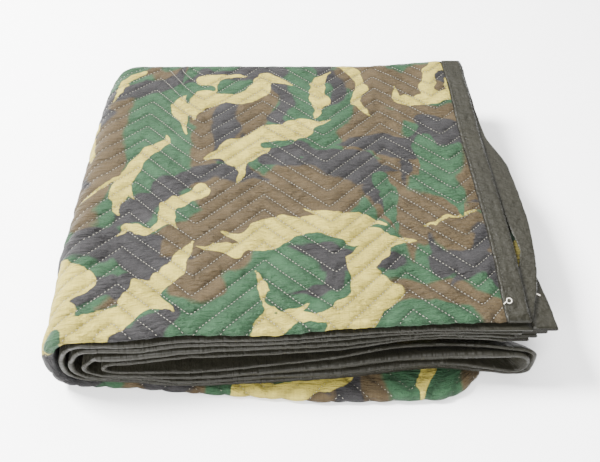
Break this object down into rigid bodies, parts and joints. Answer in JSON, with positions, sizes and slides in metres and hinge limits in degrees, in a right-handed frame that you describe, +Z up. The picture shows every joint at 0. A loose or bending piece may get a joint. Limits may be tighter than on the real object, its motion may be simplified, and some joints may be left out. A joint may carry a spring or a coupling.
{
  "type": "folded moving blanket",
  "caption": "Quilted camouflage moving blanket with a satin-bound edge, folded in a thick square stack.",
  "frame": {"origin": "middle of the stack's footprint, on the surface it lies on", "axes": "+X to the right along the front of the stack, towards its open ends; +Y towards the back folds; +Z up"},
  "size_m": [0.5548, 0.5034, 0.1007],
  "materials": {
    "quilted_cloth": "woven cotton and polyester with a printed woodland pattern, quilted in a zigzag",
    "binding_cloth": "dark olive grey satin tape with a soft sheen"
  },
  "bodies": {
    "root": {"quilted_panel": "quilted_cloth", "binding_first_front": "binding_cloth", "binding_second_front": "binding_cloth", "binding_upper_end": "binding_cloth", "binding_lower_end": "binding_cloth"}
  },
  "joints": []
}
